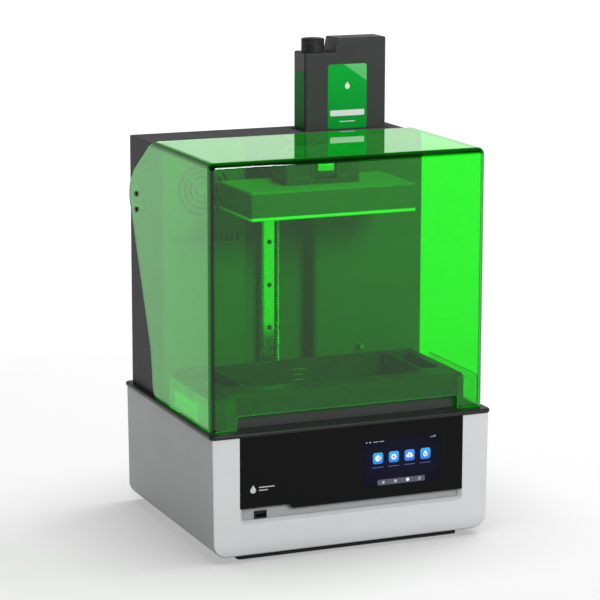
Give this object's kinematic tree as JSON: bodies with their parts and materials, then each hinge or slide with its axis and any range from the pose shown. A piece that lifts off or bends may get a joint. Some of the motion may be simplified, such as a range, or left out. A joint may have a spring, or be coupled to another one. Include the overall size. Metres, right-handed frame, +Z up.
{
  "type": "resin printer",
  "caption": "Desktop resin 3-D printer: hinged transparent cover over a resin vat and a build platform on one vertical axis, with a resin bottle standing in the tower.",
  "frame": {"origin": "centre of the footprint, on the floor", "axes": "+X to the machine's right seen from the front, +Y to the back, +Z up; the front faces -Y"},
  "size_m": [0.426, 0.36, 0.685],
  "materials": {
    "silver_coat": "fine satin powder coat",
    "zinc_sheet": "zinc-plated sheet",
    "foot_rubber": "matte",
    "black_glass": "polished black glass panel",
    "screen_face": "lit display",
    "port_black": "satin",
    "black_plastic": "fine moulded texture",
    "rocker_plastic": "gloss",
    "fan_plastic": "moulded",
    "board_green": "solder mask",
    "board_white": "white solder mask",
    "plain_aluminium": "milled",
    "led_lens": "clear silicone dome",
    "clear_lens": "ribbed clear acrylic",
    "deck_black": "satin",
    "lcd_face": "polished",
    "vat_coat": "dark anodised, fine blasted",
    "clear_film": "clear film",
    "clamp_metal": "brushed",
    "knob_plastic": "moulded",
    "dark_sheet": "fine textured powder coat",
    "black_steel": "black oxide",
    "rail_steel": "ground",
    "screw_steel": "rolled thread",
    "motor_black": "satin",
    "arm_coat": "fine textured",
    "nut_brass": "turned",
    "lever_metal": "brushed",
    "platform_coat": "dark anodised, blasted",
    "bright_plate": "laser-etched face, bright edge",
    "filter_black": "granular",
    "bottle_plastic": "moulded, satin",
    "label_green": "printed film",
    "cap_plastic": "moulded",
    "feed_silicone": "silicone",
    "cover_green": "tinted transparent acrylic",
    "guard_green": "tinted transparent acrylic"
  },
  "bodies": {
    "housing": {"base_shell": "silver_coat", "bottle_well": "black_plastic", "bottom_plate": "zinc_sheet", "carbon_filter": "filter_black", "cooling_fan_frame": "fan_plastic", "deck": "deck_black", "feed_pump": "black_plastic", "feed_tube": "feed_silicone", "film_frame": "plain_aluminium", "filter_fan_frame": "fan_plastic", "foot_rails": "foot_rubber", "fresnel_lens": "clear_lens", "front_glass": "black_glass", "hinge_brackets": "zinc_sheet", "lcd_panel": "lcd_face", "led_board": "board_white", "led_emitters": "led_lens", "led_heatsink": "plain_aluminium", "light_hood": "zinc_sheet", "main_board": "board_green", "power_inlet": "black_plastic", "power_supply": "plain_aluminium", "rail_screws": "black_steel", "rear_cover_screws": "black_steel", "rear_panel": "dark_sheet", "release_film": "clear_film", "switch_frame": "black_plastic", "top_bearing": "black_plastic", "touch_screen": "screen_face", "tower_rear_cover": "dark_sheet", "tower_shell": "dark_sheet", "usb_port": "port_black", "vat_body": "vat_coat", "vat_clamps": "clamp_metal", "z_column": "plain_aluminium", "z_motor": "motor_black", "z_rail": "rail_steel"},
    "lid": {"lid_shell": "cover_green", "lid_guards": "guard_green", "lid_screws": "black_steel", "hinge_hubs": "knob_plastic"},
    "carriage": {"rail_carriage": "rail_steel", "arm_bracket": "arm_coat", "lead_nut": "nut_brass", "head_block": "arm_coat", "lever_pin": "rail_steel", "platform_body": "platform_coat", "build_surface": "bright_plate"},
    "release_lever": {"release_lever": "lever_metal"},
    "screw_drive": {"lead_screw": "screw_steel", "shaft_coupler": "plain_aluminium", "motor_shaft": "rail_steel"},
    "bottle": {"bottle_body": "bottle_plastic", "bottle_labels": "label_green"},
    "bottle_cap": {"bottle_cap": "cap_plastic"},
    "power_rocker": {"power_rocker": "rocker_plastic"},
    "cooling_rotor": {"cooling_fan_rotor": "fan_plastic"},
    "filter_rotor": {"filter_fan_rotor": "fan_plastic"},
    "knob_left": {"vat_knob_left": "knob_plastic"},
    "knob_right": {"vat_knob_right": "knob_plastic"}
  },
  "joints": [
    {"name": "lid_hinge", "type": "hinge", "parent": "housing", "child": "lid", "pos_m": [0, 0.134, 0.458], "axis": [-1, 0, 0], "range_deg": [0, 20]},
    {"name": "z_axis", "type": "slide", "parent": "housing", "child": "carriage", "axis": [0, 0, 1], "range_m": [-0.272, 0]},
    {"name": "screw_turn", "type": "hinge", "parent": "housing", "child": "screw_drive", "pos_m": [-0.0173, 0.06, 0.38], "axis": [0, 0, 1], "continuous": true},
    {"name": "lever_flip", "type": "hinge", "parent": "carriage", "child": "release_lever", "pos_m": [0.004, -0.06, 0.539], "axis": [-1, 0, 0], "range_deg": [0, 90]},
    {"name": "bottle_lift", "type": "slide", "parent": "housing", "child": "bottle", "axis": [0, 0, 1], "range_m": [0, 0.11]},
    {"name": "cap_turn", "type": "hinge", "parent": "bottle", "child": "bottle_cap", "pos_m": [0.0693, 0.134, 0.675], "axis": [0, 0, 1], "continuous": true},
    {"name": "power_switch", "type": "hinge", "parent": "housing", "child": "power_rocker", "pos_m": [-0.118, 0.1744, 0.0625], "axis": [-1, 0, 0], "range_deg": [0, 10]},
    {"name": "cooling_fan_spin", "type": "hinge", "parent": "housing", "child": "cooling_rotor", "pos_m": [0.12, 0.165, 0.096], "axis": [0, 1, 0], "continuous": true},
    {"name": "filter_fan_spin", "type": "hinge", "parent": "housing", "child": "filter_rotor", "pos_m": [-0.14, 0.047, 0.487], "axis": [0, 1, 0], "continuous": true},
    {"name": "knob_turn_left", "type": "hinge", "parent": "housing", "child": "knob_left", "pos_m": [-0.1917, -0.052, 0.217], "axis": [0, 0, 1], "continuous": true},
    {"name": "knob_turn_right", "type": "hinge", "parent": "housing", "child": "knob_right", "pos_m": [0.1917, -0.052, 0.217], "axis": [0, 0, 1], "continuous": true}
  ],
  "couplings": [
    {"joint": "screw_turn", "follows": "z_axis", "rad_per_m": 1256.6}
  ]
}
